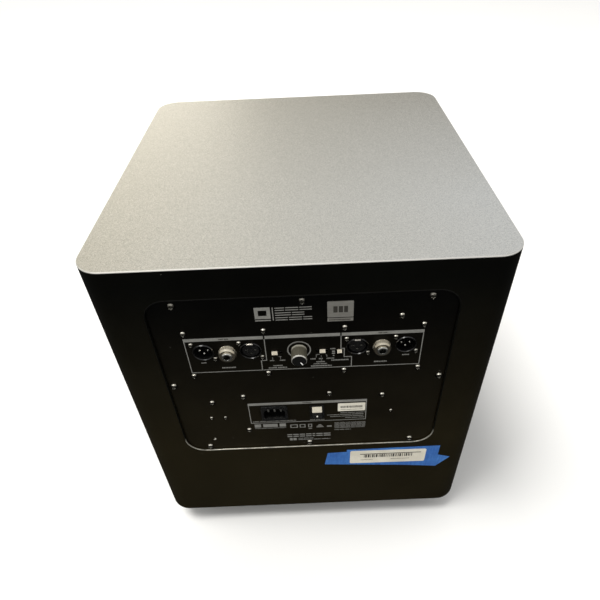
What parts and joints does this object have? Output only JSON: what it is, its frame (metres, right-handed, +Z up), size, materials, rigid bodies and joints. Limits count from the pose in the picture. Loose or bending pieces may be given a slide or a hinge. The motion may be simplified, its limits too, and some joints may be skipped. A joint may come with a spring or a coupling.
{
  "type": "powered studio subwoofer",
  "caption": "Black box subwoofer with a grey top, amplifier plate with sockets and controls on the back, slot port in front, driver facing down.",
  "frame": {"origin": "bottom centre of the bounding box, on the floor under the feet", "axes": "+Z up, the front with the port faces -Y, the amplifier plate faces +Y, +X is to the left when looking at the plate"},
  "size_m": [0.381, 0.409, 0.43],
  "materials": {
    "cabinet_black": "smooth satin black film over board",
    "raw_board": "pressed wood fibre, matt",
    "lid_grey": "silver-grey metallic lacquer, satin",
    "foot_rubber": "matt",
    "zinc_screw": "zinc plated",
    "wadding": "loose polyester felt",
    "port_plastic": "fine texture",
    "lens": "clear, polished",
    "plate_black": "fine black powder coat",
    "foam": "closed-cell foam",
    "black_screw": "black oxide, slightly glossy",
    "print_grey": "silk-screen ink",
    "badge_grey": "satin",
    "socket_plastic": "semi-gloss black",
    "contact_metal": "tin and silver plated",
    "latch_metal": "nickel plated",
    "jack_chrome": "bright",
    "nut_steel": "satin nickel",
    "knob_plastic": "satin black, fluted",
    "white_mark": "white inlay",
    "shaft_steel": "plated",
    "ivory_plastic": "satin ivory",
    "label_paper": "matt label stock",
    "circuit_board": "green solder mask",
    "standoff_brass": "turned",
    "sink_aluminium": "extruded",
    "ferrite": "pressed ferrite",
    "can_sleeve": "shrunk sleeve",
    "wire_cover": "flexible cover",
    "cast_frame": "black powder coat on casting",
    "surround_rubber": "matt",
    "cone_paper": "coated pulp",
    "coil_copper": "enamelled copper wire",
    "spider_cloth": "resin-dipped cloth",
    "blue_tape": "crepe masking tape"
  },
  "bodies": {
    "cabinet": {"front_panel": "cabinet_black", "back_panel": "cabinet_black", "left_panel": "cabinet_black", "right_panel": "cabinet_black", "bottom_panel": "raw_board", "top_board": "raw_board", "top_lid": "lid_grey", "window_brace": "raw_board", "feet": "foot_rubber", "foot_screws": "zinc_screw", "wadding": "wadding", "port_mouth": "port_plastic", "port_duct": "port_plastic", "status_lens": "lens", "amp_plate": "plate_black", "plate_gasket": "foam", "edge_screws": "black_screw", "panel_screws": "black_screw", "small_screws": "black_screw", "socket_screws": "black_screw", "panel_print": "print_grey", "name_badge": "badge_grey", "male_sockets": "socket_plastic", "female_sockets": "socket_plastic", "socket_contacts": "contact_metal", "jack_sockets": "jack_chrome", "jack_nuts": "nut_steel", "pot_body": "shaft_steel", "switch_bodies": "shaft_steel", "power_bezel": "socket_plastic", "mains_inlet": "socket_plastic", "inlet_pins": "contact_metal", "rating_label": "label_paper", "input_board": "circuit_board", "power_board": "circuit_board", "standoffs": "standoff_brass", "heat_sink": "sink_aluminium", "transformer": "ferrite", "capacitors": "can_sleeve", "driver_wires": "wire_cover", "basket": "cast_frame", "surround": "surround_rubber", "spider": "spider_cloth", "magnet": "ferrite", "motor_steel": "shaft_steel", "driver_screws": "black_screw", "masking_tape": "blue_tape", "tape_label": "label_paper"},
    "level_control": {"level_knob": "knob_plastic", "knob_pointer": "white_mark", "pot_shaft": "shaft_steel"},
    "standby_switch": {"standby_slider": "ivory_plastic"},
    "crossover_switch": {"crossover_slider": "ivory_plastic"},
    "polarity_switch": {"polarity_slider": "ivory_plastic"},
    "power_switch": {"power_rocker": "ivory_plastic"},
    "plug_latch_left": {"latch_left": "latch_metal"},
    "plug_latch_right": {"latch_right": "latch_metal"},
    "moving_cone": {"cone": "cone_paper", "dust_cap": "cone_paper", "voice_coil": "coil_copper"}
  },
  "joints": [
    {"name": "level_turn", "type": "hinge", "parent": "cabinet", "child": "level_control", "pos_m": [0.0053, 0.1895, 0.3279], "axis": [0, 1, 0], "range_deg": [0, 297]},
    {"name": "standby_slide", "type": "slide", "parent": "cabinet", "child": "standby_switch", "axis": [-1, 0, 0], "range_m": [0, 0.004]},
    {"name": "crossover_slide", "type": "slide", "parent": "cabinet", "child": "crossover_switch", "axis": [1, 0, 0], "range_m": [-0.003, 0.003]},
    {"name": "polarity_slide", "type": "slide", "parent": "cabinet", "child": "polarity_switch", "axis": [0, 0, -1], "range_m": [0, 0.004]},
    {"name": "power_rock", "type": "hinge", "parent": "cabinet", "child": "power_switch", "pos_m": [-0.0097, 0.1895, 0.2318], "axis": [-1, 0, 0], "range_deg": [0, 18]},
    {"name": "latch_left_push", "type": "slide", "parent": "cabinet", "child": "plug_latch_left", "axis": [0, -1, 0], "range_m": [0, 0.002], "stiffness_N_per_m": 800, "springref_m": -0.001},
    {"name": "latch_right_push", "type": "slide", "parent": "cabinet", "child": "plug_latch_right", "axis": [0, -1, 0], "range_m": [0, 0.002], "stiffness_N_per_m": 800, "springref_m": -0.001},
    {"name": "cone_stroke", "type": "slide", "parent": "cabinet", "child": "moving_cone", "axis": [0, 0, -1], "range_m": [-0.008, 0.008], "stiffness_N_per_m": 6000, "deforming": ["surround", "spider"]}
  ]
}
